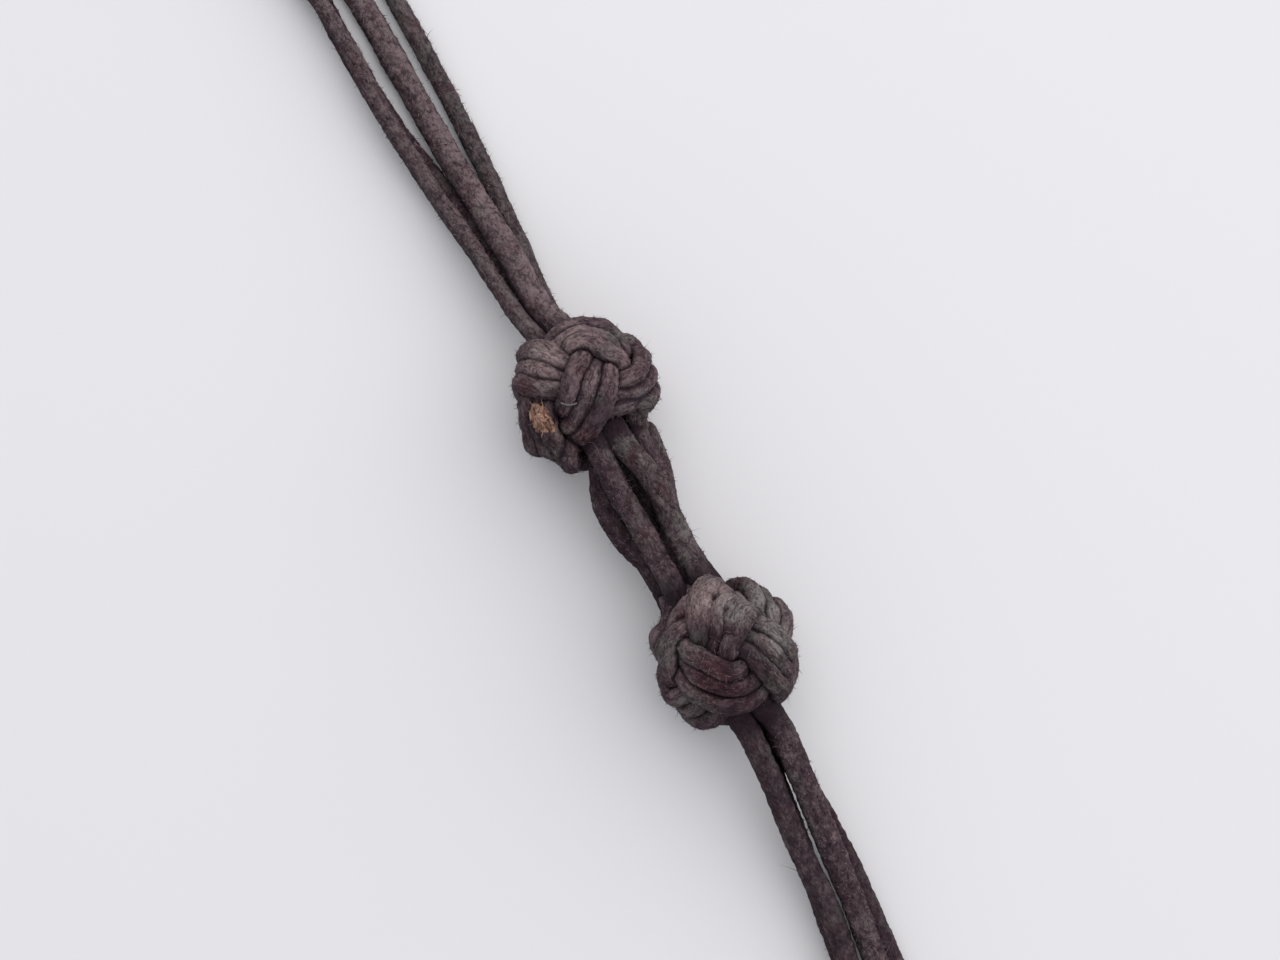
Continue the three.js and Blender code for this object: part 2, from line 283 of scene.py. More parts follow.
# A pricked hole: dented in, and painted dark as shade within the shade radii
PRICK_DEPTH = 0.35
PRICK_RADII = (0.26, 0.1)
PRICK_SHADE_RADII = (0.3, 0.18)
PRICKED_ABOVE = 1.5  # only skin this much higher than the ball's middle is pricked

# Roughly the direction from which the key light falls, painted into the colour. How much skin
# faces it, from -1 to 1, where it gets no painted highlight at all and where it gets all of it,
# and the same for painted shade, which keeps to the other side
PAINTED_LIGHT_FROM = np.array([-0.06, 0.79, 0.61])
LIT_FACING = (-0.4, 0.9)
SHADED_FACING = (-0.15, -0.9)

# Shares of paleness, painted highlight and painted shade
UNLIT_SIDE_SHARE = 0.3  # of a strand's paleness on unlit sides; lit sides get painted highlight too
STRAND_PAINTED_HIGHLIGHT = 0.2
STRAND_PAINTED_SHADE = 0.7
BALL_PAINTED_HIGHLIGHT = 0.25
BALL_PAINTED_SHADE = 0.4
SPOT_DUST_AND_LIGHT = 0.65
SPOT_SHADE = 0.55
PRICK_SHADE = 1.1
FLAT_IS_LESS_SHADED = 0.75  # of a crevice's painted shade, gone where a round is fully flat

# Uneven surface of a cord: length along it, length round it, height
RELIEF = [
    (2.4, 1.5, 0.05),
    (1.9, 0.32, 0.04),
    (0.8, 0.55, 0.045),
    (0.4, 0.3, 0.05),
    (0.24, 0.2, 0.045),
]
RELIEF_UNIT = 0.1  # the materials read heights in this unit
TWIST = 0.35  # how far a flattened cord leans either way, in radians
TWIST_REACH = 7
SWELL = 0.06  # how much its width varies
SWELL_REACH = 4.5
STRAIGHT_RADIUS = 0.7  # of the straightened cord, on which patterns lie
SEED_APART = 31.0  # between the straightened cords of two seeds

# Seeds of the cords' patterns
BALL_SEED = 1.0
STRAND_SEED = 5.0
TUFT_SEED = 40.0
THREAD_SEED = 60.0
TIP_SEED = 70.0

# Sizes of the patterns in the cotton
PATCH_SIZE = 1.9
RED_SIZE = 1.6
CRACKED_SIZE = 1.1
MOTTLE_SIZE = 0.4
CRUMB_SIZE = 0.3
SPECKLE_SIZE = 0.15
CORE_FIBRE_SIZE = 0.08
FIBRE_SIZE = 0.07
GRAIN_DEPTH = 0.22
CORE_GRAIN_DEPTH = 0.15


def unit(rows):
    return rows / np.maximum(np.linalg.norm(rows, axis=-1, keepdims=True), 1e-12)


def lengths_along(line):
    steps = np.linalg.norm(np.diff(line, axis=0), axis=1)
    return np.concatenate([[0.0], np.cumsum(steps)])


def respaced(line, stops):
    """Points of a fine line at the given lengths along it."""
    along = lengths_along(line)
    return np.stack([np.interp(stops, along, line[:, axis]) for axis in range(3)], axis=1)


def smooth_through(points, per_span=60):
    """A fine line along the centripetal Catmull-Rom curve through the points."""
    points = np.array(points, float)
    first = 2 * points[0] - points[1]
    last = 2 * points[-1] - points[-2]
    padded = np.vstack([first, points, last])
    t = (np.arange(per_span) / per_span)[:, None]
    spans = []
    for a, b, c, d in zip(padded, padded[1:], padded[2:], padded[3:]):
        pairs = ((a, b), (b, c), (c, d))
        before, here, after = (math.sqrt(np.linalg.norm(q - p)) for p, q in pairs)
        leave = here * ((b - a) / before - (c - a) / (before + here) + (c - b) / here)
        arrive = here * ((c - b) / here - (d - b) / (here + after) + (d - c) / after)
        rise = 3 * (c - b) - 2 * leave - arrive
        settle_down = leave + arrive - 2 * (c - b)
        spans.append(b + leave * t + rise * t**2 + settle_down * t**3)
    return np.vstack([*spans, points[-1:]])


def eased(values, low, high):
    """0 at `low`, 1 at `high`, and smooth from one to the other."""
    t = np.clip((values - low) / (high - low), 0, 1)
    return t * t * (3 - 2 * t)


def wander(rows, seed):
    """Smooth noise between about -1 and 1 at each row of coordinates."""
    shift = Vector((17.3, 5.1, 9.7)) * seed
    return np.array([noise.noise(Vector(row) + shift) for row in rows])


def wander_along(along, reach, seed):
    rows = np.zeros((len(along), 3))
    rows[:, 0] = along / reach
    return wander(rows, seed)


# Routes


def strand_points(strand):
    """The route of one cord, as the model lays it, with each held end run on into its ball."""
    middle = np.array([(x, y, CORD_LYING) for x, y, _, _ in LOOP])
    before = np.vstack([middle[:1], middle[:-1]])
    after = np.vstack([middle[1:], middle[-1:]])
    outwards = np.cross(unit(after - before), UP)
    out = np.array([row[2][strand] for row in LOOP])[:, None]
    lift = np.array([row[3][strand] for row in LOOP])[:, None]
    loop = middle + outwards * out + UP * lift
    held_in_b = np.array([(row[0], *row[strand + 1]) for row in HELD_IN_B])
    held_in_a = np.array([(row[0], *row[strand + 1]) for row in HELD_IN_A])
    into_b = held_in_b[0] + RUN_ON
    into_a = held_in_a[-1] + RUN_ON * (-1, 1, 1)
    return np.vstack([into_b, held_in_b, loop, held_in_a, into_a])


def weave_directions(laps):
    """Directions from a ball's middle to the middle pass of its cord."""
    swing = BIGHTS * 2 * math.pi * laps
    latitude = SHIFT + REACH * (np.cos(swing) - FLATTEN * np.cos(3 * swing))
    turn = -LEADS * 2 * math.pi * laps
    across = np.cos(latitude)
    return np.stack([np.sin(latitude), across * np.cos(turn), across * np.sin(turn)], axis=1)


def weave_points(laps):
    """The cord of a ball: it moves over to the next pass at the end of each lap, and rises over
    and dips under the rounds that it crosses."""
    lap = np.clip(np.floor(laps), 0, PASSES - 1)
    change = np.clip((laps - lap - 1 + LANE_CHANGE) / LANE_CHANGE, 0, 1)
    change = np.where(lap < PASSES - 1, change * change * (3 - 2 * change), 0)
    lane = lap + change - (PASSES - 1) / 2
    middle = weave_directions(laps)
    ahead = weave_directions(laps + NUDGE) - weave_directions(laps - NUDGE)
    side = unit(np.cross(ahead, middle))
    angle = (lane * PASS_PITCH / PITCH_RADIUS)[:, None]
    direction = middle * np.cos(angle) + side * np.sin(angle)
    rise = LAYER * np.sin((LEADS - 1) * BIGHTS * 2 * math.pi * laps)
    radius = WAIST_RADIUS + FLARE * direction[:, 0] ** 2 + rise
    return direction * radius[:, None]


def tucked(line):
    """The line run on from its last point, turning in towards the ball's middle."""
    heading = unit(line[-1] - line[-2])
    points = [line[-1]]
    for _ in range(round(TUCKED_LENGTH / LAID_STEP)):
        inwards = -unit(points[-1])
        heading = unit(heading + TURN_IN * inwards)
        points.append(points[-1] + heading * LAID_STEP)
    return np.array(points[1:])


def settled(line):
    """The line after its cord has found room: where it overlaps itself it is pushed apart, its
    bends even out, and it is drawn back towards where it was laid."""
    laid = line.copy()
    index = np.arange(len(line))
    itself = np.abs(index[:, None] - index[None, :]) * LAID_STEP < 2 * ROOM
    for _ in range(SETTLING_ROUNDS):
        gap = line[:, None] - line[None, :]
        distance = np.linalg.norm(gap, axis=2)
        distance[itself] = ROOM * 2
        overlap = np.clip(ROOM - distance, 0, None)
        weight = overlap.sum(axis=1)
        share = overlap**2 / distance / np.maximum(weight, 1e-9)[:, None]
        line = line + PUSH * (gap * share[..., None]).sum(axis=1)
        line[1:-1] += EVENING * (line[:-2] + line[2:] - 2 * line[1:-1])
        line += HOLD * (laid - line)
    return line


def ball_axes(ball):
    """Columns: the wider mouth, and the two directions across it after the ball's turn."""
    x = unit(np.array(ball["mouth"], float))
    y = unit(UP - x * x[2])
    z = np.cross(x, y)
    cos, sin = math.cos(math.radians(ball["turn"])), math.sin(math.radians(ball["turn"]))
    return np.stack([x, y * cos + z * sin, z * cos - y * sin], axis=1)


# Marks on the cords, with painted highlight and painted shade


def crevices(skin, rounds, own, low, high):
    """How deep each point of a cord's skin lies between other rounds: 0 further than `low` from
    their middles, 1 nearer than `high`. On its own cord the `own` rounds before and after a
    ring's place don't count."""
    rings_at_once = 60
    nearest = []
    for start in range(0, len(skin), rings_at_once):
        block = skin[start : start + rings_at_once]
        gap = np.linalg.norm(block[:, :, None] - rounds, axis=-1)
        if own:
            place = np.arange(start, start + len(block))[:, None] / ROUND_EVERY
            itself = np.abs(place - np.arange(len(rounds))) < own
            gap += FAR * itself[:, None, :]
        nearest.append(gap.min(axis=-1))
    return eased(np.vstack(nearest), low, high)


def lit_and_shaded_sides(skin, line):
    """How much each point of a cord's skin faces the light, from 0 to 1, which is painted as
    highlight, and how much it faces away, which is painted as shade."""
    facing = unit(skin - line[:, None]) @ PAINTED_LIGHT_FROM
    return eased(facing, *LIT_FACING), eased(facing, *SHADED_FACING)


def spots(points, places):
    """1 in the middle of each place (x, y, radius), 0 beyond its edge."""
    value = np.zeros(points.shape[:-1])
    for x, y, radius in places:
        away = np.hypot(points[..., 0] - x, points[..., 1] - y)
        value = np.maximum(value, eased(away, radius, INNER_SPOT * radius))
    return value


# Meshes


def new_piece(name, points, faces, material, replaced=()):
    """A finished mesh piece that rides on the necklace, from its points in millimetres."""
    mesh = bpy.data.meshes.new(name)
    mesh.from_pydata(((points + CLOSURE) * MM).tolist(), [], faces)
    mesh.materials.append(material)
    mesh.polygons.foreach_set("use_smooth", [True] * len(mesh.polygons))
    mesh.update()
    piece = bpy.data.objects.new(name, mesh)
    bpy.context.scene.collection.objects.link(piece)
    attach(piece, "root")
    if replaced:
        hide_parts(*replaced)
    return piece


def store(piece, name, kind, values):
    """Keep a value at each point of a piece, for its material to read."""
    attribute = piece.data.attributes.new(name, kind, "POINT")
    key = "vector" if kind == "FLOAT_VECTOR" else "value"
    attribute.data.foreach_set(key, np.ascontiguousarray(values, np.float32).ravel())


def grid_faces(rings, sides):
    """Quads between neighbouring rings, and a fan to a middle point at each end."""
    ring, side = np.meshgrid(np.arange(rings - 1), np.arange(sides), indexing="ij")
    a = ring * sides + side
    b = ring * sides + (side + 1) % sides
    quads = np.stack([a, b, b + sides, a + sides], axis=-1).reshape(-1, 4).tolist()
    start, end = rings * sides, rings * sides + 1
    last = (rings - 1) * sides
    fans = [[start, (k + 1) % sides, k] for k in range(sides)]
    fans += [[end, last + k, last + (k + 1) % sides] for k in range(sides)]
    return quads + fans


def cord_surface(line, ups, widths, heights, sides, seed, round_end=0.6, relief_scale=1.0):
    """The skin of a cord: its points, their place on the straightened cord, and the height of the
    surface there."""
    along = lengths_along(line)
    tangent = unit(np.gradient(line, axis=0))
    across = unit(np.cross(tangent, ups))
    over = np.cross(across, tangent)
    angle = np.arange(sides) * 2 * math.pi / sides
    cos, sin = np.cos(angle), np.sin(angle)
    lean = TWIST * wander_along(along, TWIST_REACH, seed + 3)
    swell = 1 + SWELL * wander_along(along, SWELL_REACH, seed + 4)
    a = (widths / 2 * swell)[:, None]
    b = (heights / 2 * swell)[:, None]
    leaning = angle[None, :] - lean[:, None]
    radius = a * b / np.sqrt((b * np.cos(leaning)) ** 2 + (a * np.sin(leaning)) ** 2)
    outward = across[:, None] * cos[None, :, None] + over[:, None] * sin[None, :, None]

    straight = np.zeros((len(line), sides, 3))
    straight[..., 0] = along[:, None] + SEED_APART * seed
    straight[..., 1] = STRAIGHT_RADIUS * cos
    straight[..., 2] = STRAIGHT_RADIUS * sin
    rows = straight.reshape(-1, 3)
    relief = np.zeros(len(rows))
    for i, (length, girth, height) in enumerate(RELIEF):
        relief += relief_scale * height * wander(rows / (length, girth, girth), seed + i)
    relief = relief.reshape(len(line), sides)

    from_end = np.minimum(along, along[-1] - along)
    rounding = np.clip(1 - from_end / round_end, 0, 1)
    taper = np.sqrt(np.clip(1 - rounding**2, 0.03, 1))[:, None]
    skin = line[:, None] + outward * ((radius + relief) * taper)[..., None]
    return skin, straight, relief


def with_ends(rings, start, end):
    """The values of all rings in one list, followed by those of the two end points."""
    return np.concatenate([rings.reshape(-1, *rings.shape[2:]), np.array([start, end])])


def cord_piece(name, line, surface, marks, material, replaced=()):
    """A closed cord from its surface, with what its material reads at each point."""
    skin, straight, relief = surface
    points = with_ends(skin, line[0], line[-1])
    points[:, 2] = np.maximum(points[:, 2], 0)
    faces = grid_faces(*skin.shape[:2])
    piece = new_piece(name, points, faces, material, replaced)
    middle = straight.mean(axis=1)
    store(piece, "straight", "FLOAT_VECTOR", with_ends(straight, middle[0], middle[-1]))
    store(piece, "relief", "FLOAT", with_ends(relief / RELIEF_UNIT, 0, 0))
    for mark, values in marks.items():
        store(piece, mark, "FLOAT", with_ends(values, 0, 0))
    return piece


def fibre_points(roots, directions, bends, lengths, thickness, stops):
    """Thin fibres of three sides and `stops` rings, each ending in a point: points and faces."""
    sides = 3
    off_axis = np.array([0.011, 0.023, 0.017])  # gives a fibre with no bend a side too
    thinning = 0.5  # part of its thickness that a fibre loses up to its last ring
    t = np.linspace(0, 1, stops + 1)
    line = (
        roots[:, None]
        + directions[:, None] * (lengths[:, None] * t)[..., None]
        + bends[:, None] * (lengths[:, None] * t**2)[..., None]
    )
    across = unit(np.cross(directions, bends + off_axis))
    over = np.cross(directions, across)
    angle = (np.arange(sides) * 2 * math.pi / sides)[:, None]
    ring = across[:, None] * np.cos(angle) + over[:, None] * np.sin(angle)
    radius = thickness[:, None] / 2 * (1 - thinning * t[:-1])
    rings = line[:, :-1, None] + ring[:, None] * radius[..., None, None]
    points = np.concatenate([rings.reshape(len(roots), -1, 3), line[:, -1:]], axis=1)
    faces = [[2, 1, 0]]
    for low in range(0, (stops - 1) * sides, sides):
        for a in range(sides):
            b = (a + 1) % sides
            faces.append([low + a, low + b, low + sides + b, low + sides + a])
    top = (stops - 1) * sides
    faces += [[top + a, top + (a + 1) % sides, stops * sides] for a in range(sides)]
    each = stops * sides + 1
    faces = [[fibre * each + k for k in face] for fibre in range(len(roots)) for face in faces]
    return points.reshape(-1, 3), faces


def fibre_piece(name, fibres, tones, material):
    """Fibres in one piece, each with its own tone."""
    points, faces = fibres
    piece = new_piece(name, points, faces, material)
    store(piece, "tone", "FLOAT", np.repeat(tones, len(points) // len(tones)))


def skin_of(piece):
    """A piece's points in millimetres from the closure, and its outward normals there."""
    vertices = piece.data.vertices
    points = np.empty(len(vertices) * 3)
    normals = np.empty(len(vertices) * 3)
    vertices.foreach_get("co", points)
    vertices.foreach_get("normal", normals)
    return points.reshape(-1, 3) / MM - CLOSURE, normals.reshape(-1, 3)


def on_top(points, x, y, reach=0.3):
    """The highest of a skin's points near x, y."""
    away = np.hypot(points[:, 0] - x, points[:, 1] - y)
    return points[np.where(away < reach, points[:, 2] - away, -np.inf).argmax()]


# Materials


class Wire:
    """The value that comes out of a socket. Arithmetic on it adds Math nodes."""

    def __init__(self, graph, socket):
        self.graph = graph
        self.socket = socket

    def math(self, operation, first, second):
        return self.graph.node("ShaderNodeMath", {"operation": operation}, {0: first, 1: second})

    def __add__(self, other):
        return self.math("ADD", self, other)

    def __radd__(self, other):
        return self.math("ADD", other, self)

    def __sub__(self, other):
        return self.math("SUBTRACT", self, other)

    def __rsub__(self, other):
        return self.math("SUBTRACT", other, self)

    def __mul__(self, other):
        return self.math("MULTIPLY", self, other)

    def __rmul__(self, other):
        return self.math("MULTIPLY", other, self)

    def between(self, low, high):
        """0 below `low`, 1 above `high`, and smooth from one to the other."""
        settings = {"interpolation_type": "SMOOTHSTEP"}
        return self.graph.node("ShaderNodeMapRange", settings, {0: self, 1: low, 2: high})


class Graph:
    """The node tree of one material."""

    def __init__(self, name):
        self.material = bpy.data.materials.new(name)
        self.material.use_nodes = True
        self.tree = self.material.node_tree
        self.tree.nodes.clear()

    def node(self, kind, settings=None, values=None, output=0):
        """Add a node with its settings, then its sockets' values or links, and return an output."""
        node = self.tree.nodes.new(kind)
        for key, value in (settings or {}).items():
            setattr(node, key, value)
        for key, value in (values or {}).items():
            if isinstance(value, Wire):
                self.tree.links.new(value.socket, node.inputs[key])
            else:
                node.inputs[key].default_value = value
        return Wire(self, node.outputs[output]) if node.outputs else None

    def attribute(self, name, output="Fac"):
        return self.node("ShaderNodeAttribute", {"attribute_name": name}, output=output)

    def noise(self, place, size, detail=2.0, roughness=0.5):
        """Noise whose lumps are about `size` across, in the units of `place`."""
        values = {"Vector": place, "Scale": 1 / size, "Detail": detail, "Roughness": roughness}
        return self.node("ShaderNodeTexNoise", None, values)

    def lengthened(self, place, squeeze):
        """The place squeezed along the cord, which makes patterns that much longer there."""
        settings = {"operation": "MULTIPLY"}
        return self.node("ShaderNodeVectorMath", settings, {0: place, 1: (squeeze, 1, 1)})

    def mix(self, factor, first, second):
        """Two colours mixed, each of them a wire or three numbers."""
        first, second = (c if isinstance(c, Wire) else (*c, 1) for c in (first, second))
        values = {0: factor, 6: first, 7: second}
        return self.node("ShaderNodeMix", {"data_type": "RGBA"}, values, output=2)

    def bump(self, depth, height):
        values = {"Strength": 1.0, "Distance": depth * MM, "Height": height}
        return self.node("ShaderNodeBump", None, values)

    def surface(self, colour, roughness, specular, bump=None):
        colour = colour if isinstance(colour, Wire) else (*colour, 1)
        values = {"Base Color": colour, "Roughness": roughness, "Specular IOR Level": specular}
        if bump:
            values["Normal"] = bump
        shader = self.node("ShaderNodeBsdfPrincipled", None, values)
        self.node("ShaderNodeOutputMaterial", None, {"Surface": shader})
        return self.material


def waxed_cotton(name, colours):
    """Matt waxed cord: fibre grain, pits, cracks in the wax, worn high spots, dust and bloom, with
    painted highlight and painted shade from the marks it reads.
    """
    graph = Graph(name)
    place = graph.attribute("straight", "Vector")
    long_place = graph.lengthened(place, 0.65)
    patches = graph.noise(long_place, PATCH_SIZE, detail=3, roughness=0.6)
    reddish = graph.noise(place, RED_SIZE)
    mottle = graph.noise(long_place, MOTTLE_SIZE, detail=3, roughness=0.6)
    speckle = graph.noise(long_place, SPECKLE_SIZE, detail=3, roughness=0.7)
    fibres = graph.noise(graph.lengthened(place, 0.4), FIBRE_SIZE, roughness=0.6)

    # Dust, grey-green bloom and redder dye, in patches of their own and where they are marked. The
    # marked paleness is partly painted highlight, on the sides that face the light
    uneven = (patches - 0.5) * 0.7
    paleness = graph.attribute("dusty_and_lit") * 0.8 + uneven + (mottle - 0.5) * 0.5
    paleness = paleness.between(-0.1, 1.0)
    colour = graph.mix(paleness, colours.cord_colour, colours.dust_and_highlight_colour)
    greyed = patches.between(0.52, 0.68) * 0.6 + graph.attribute("greyed") * 0.8
    bloom = graph.mix(paleness, colours.bloom_colour, colours.ash_colour)
    colour = graph.mix(greyed, colour, bloom)
    red = reddish.between(0.52, 0.7) * 0.5 + graph.attribute("reddened") * 0.8
    colour = graph.mix(red, colour, colours.red_colour)

    # Dark pits, worn fibres on the high spots, and cracks in the wax
    height = graph.attribute("relief") * 0.3 + mottle * 0.75 + speckle * 1.25
    pits = (1 - height.between(0.68, 1.12)) * 0.8
    colour = graph.mix(pits, colour, colours.pit_colour)
    worn = (height + fibres * 0.7).between(1.36, 1.76)
    colour = graph.mix(worn * 0.7, colour, colours.fibre_colour)
    cells = graph.node(
        "ShaderNodeTexVoronoi",
        {"feature": "DISTANCE_TO_EDGE"},
        {"Vector": graph.lengthened(place, 0.55), "Scale": 1.9, "Randomness": 1.0, "Detail": 1.0},
    )
    cracked = graph.noise(place, CRACKED_SIZE).between(0.5, 0.62)
    crack = (1 - cells.between(0.012, 0.06)) * cracked
    colour = graph.mix(crack * 0.4, colour, colours.pit_colour)

    # Faded and rubbed places, partly wear and partly painted highlight, with the grain showing in
    # them, and painted shade over everything
    for mark, pale in (("faded_and_lit", colours.faded_and_lit_colour), ("rubbed_and_lit", colours.rubbed_and_lit_colour)):
        share = graph.attribute(mark) * (0.33 + uneven * 0.7 + (speckle - 0.5) * 1.6)
        colour = graph.mix(share, colour, pale)
    colour = graph.mix(graph.attribute("painted_shade") * 0.9, colour, colours.painted_shade_colour)

    grain = speckle * 0.7 + fibres * 0.35 + mottle * 0.6 - crack * 0.3
    bump = graph.bump(GRAIN_DEPTH, grain)
    return graph.surface(colour, roughness=0.8, specular=0.13, bump=bump)


def bare_cotton(name, dark, pale):
    """Undyed core of a frayed cord, painted dark in its depths as shade and pale on its crumbs."""
    graph = Graph(name)
    place = graph.attribute("straight", "Vector")
    crumbs = graph.noise(place, CRUMB_SIZE, detail=3, roughness=0.65)
    fibres = graph.noise(graph.lengthened(place, 0.4), CORE_FIBRE_SIZE)
    # In the frayed end the relief holds each crumb's height, painting it darker low down as shade
    # and paler high up as highlight
    tone = crumbs * 0.6 + fibres * 0.25 + graph.attribute("relief") * 0.08
    colour = graph.mix(tone.between(0.38, 0.66), dark, pale)
    bump = graph.bump(CORE_GRAIN_DEPTH, crumbs + fibres * 0.4)
    return graph.surface(colour, roughness=0.85, specular=0.2, bump=bump)


def loose_fibre(name, dark, pale):
    """Single fibres, each of its own tone between two colours."""
    graph = Graph(name)
    colour = graph.mix(graph.attribute("tone"), dark, pale)
    return graph.surface(colour, roughness=0.7, specular=0.15)


def plain_floor(name, colour):
    return Graph(name).surface(colour, roughness=0.6, specular=0.2)


# Settings


class CordSettings(bpy.types.PropertyGroup):
    ball_cord: FloatProperty(
        name="Ball cord", description="Width of the cord that the balls are wound from",
        default=1.36 * MM, min=0.5 * MM, unit="LENGTH")
    ball_cord_height: FloatProperty(
        name="Ball cord height", description="Thickness of the balls' cord, pressed flatter",
        default=1.2 * MM, min=0.5 * MM, unit="LENGTH")
    strand_height: FloatProperty(
        name="Strand height", description="Thickness of the loop's cords, which are slightly flat",
        default=1.4 * MM, min=0.5 * MM, unit="LENGTH")
    fuzz_per_mm: FloatProperty(
        name="Fuzz", description="Loose fibres on each millimetre of cord in the closure",
        default=48, min=0)
    neck_fuzz_per_mm: FloatProperty(
        name="Neck fuzz", description="Loose fibres on each millimetre of cord round the neck",
        default=0.8, min=0)
    fuzz_dark: FloatVectorProperty(
        name="Fuzz, dark", description="Colour of the darkest loose fibres",
        default=(0.04, 0.019, 0.027), subtype="COLOR", min=0, max=1)
    fuzz_pale: FloatVectorProperty(
        name="Fuzz, pale", description="Colour of the palest loose fibres",
        default=(0.2, 0.145, 0.158), subtype="COLOR", min=0, max=1)
    ball_fuzz: IntProperty(
        name="Ball fuzz", description="Loose fibres on each ball", default=7000, min=0)
    cord_colour: FloatVectorProperty(
        name="Cord", description="Colour of the dyed cotton",
        default=(0.044, 0.025, 0.033), subtype="COLOR", min=0, max=1)
    # Also the painted highlight on the sides of the cords that face the light
    dust_and_highlight_colour: FloatVectorProperty(
        name="Dust", description="Colour of the cotton where it is dusty and faded",
        default=(0.150, 0.100, 0.110), subtype="COLOR", min=0, max=1)
    bloom_colour: FloatVectorProperty(
        name="Bloom", description="Colour of the grey-green patches of wax",
        default=(0.078, 0.073, 0.068), subtype="COLOR", min=0, max=1)
    # Also painted highlight on those patches where they face the light
    ash_colour: FloatVectorProperty(
        name="Ash", description="Colour of those patches where they are dusty",
        default=(0.128, 0.118, 0.116), subtype="COLOR", min=0, max=1)
    # Partly painted highlight, on the balls' rims that face the light
    faded_and_lit_colour: FloatVectorProperty(
        name="Faded", description="Colour of the most faded cotton on the balls",
        default=(0.34, 0.26, 0.25), subtype="COLOR", min=0, max=1)
    # Partly painted highlight, on the balls' sides that face the light
    rubbed_and_lit_colour: FloatVectorProperty(
        name="Rubbed", description="Colour of the wax where the balls are rubbed",
        default=(0.28, 0.26, 0.25), subtype="COLOR", min=0, max=1)
    red_colour: FloatVectorProperty(
        name="Red patches", description="Colour where the dye is redder",
        default=(0.060, 0.023, 0.028), subtype="COLOR", min=0, max=1)
    pit_colour: FloatVectorProperty(
        name="Pits", description="Colour of the deep grain",
        default=(0.014, 0.006, 0.009), subtype="COLOR", min=0, max=1)
    # Painted shade: in crevices, at the balls' mouths and in the pricked hole, on the sides away
    # from the light and on the balls' shaded spots
    painted_shade_colour: FloatVectorProperty(
        name="Crevices", description="Colour where cords press against each other",
        default=(0.015, 0.007, 0.012), subtype="COLOR", min=0, max=1)
    fibre_colour: FloatVectorProperty(
        name="Fibres", description="Colour of the worn fibres on top",
        default=(0.17, 0.13, 0.135), subtype="COLOR", min=0, max=1)


class EndSettings(bpy.types.PropertyGroup):
    tuft_strands: IntProperty(
        name="Tuft strands", description="Crumbled strands in the frayed end on ball a",
        default=52, min=1)
    tuft_fibres: IntProperty(
        name="Tuft fibres", description="Fibres in the frayed end on ball a", default=150, min=0)
    # Painted shade deep in the frayed end
    tuft_dark: FloatVectorProperty(
        name="Tuft, dark", description="Colour deep in the frayed end",
        default=(0.12, 0.055, 0.037), subtype="COLOR", min=0, max=1)
    tuft_pale: FloatVectorProperty(
        name="Tuft, pale", description="Colour at the tips of the frayed end",
        default=(0.47, 0.282, 0.205), subtype="COLOR", min=0, max=1)
    lint_colour: FloatVectorProperty(
        name="Lint", description="Colour of the palest fibres of the frayed end",
        default=(0.5, 0.36, 0.29), subtype="COLOR", min=0, max=1)
    tip_dark: FloatVectorProperty(
        name="Cord tip, dark", description="Colour in the grain of the cord's tip on ball b",
        default=(0.09, 0.06, 0.075), subtype="COLOR", min=0, max=1)
    tip_pale: FloatVectorProperty(
        name="Cord tip, pale", description="Colour of the fibres at the cord's tip on ball b",
        default=(0.24, 0.17, 0.2), subtype="COLOR", min=0, max=1)
    thread_colour: FloatVectorProperty(
        name="Thread", description="Colour of the pale thread on ball a",
        default=(0.115, 0.1, 0.1), subtype="COLOR", min=0, max=1)


class StageSettings(bpy.types.PropertyGroup):
    floor_size: FloatProperty(
        name="Floor", description="Side of the square floor", default=3, min=0.5, unit="LENGTH")
    floor_colour: FloatVectorProperty(
        name="Floor colour", description="Colour of the floor",
        default=(0.62, 0.612, 0.632), subtype="COLOR", min=0, max=1)
    key_power: FloatProperty(
        name="Key light", description="Power of the window light in watts", default=7.9, min=0)
    sky: FloatProperty(
        name="Sky", description="Strength of the even light from all round", default=0.72, min=0)
    focal_length: FloatProperty(
        name="Focal length", description="Camera's focal length in millimetres", default=50, min=1)
    elevation: FloatProperty(
        name="Elevation", description="Camera's height above the surface, as an angle",
        default=math.radians(85), subtype="ANGLE")


# Operators


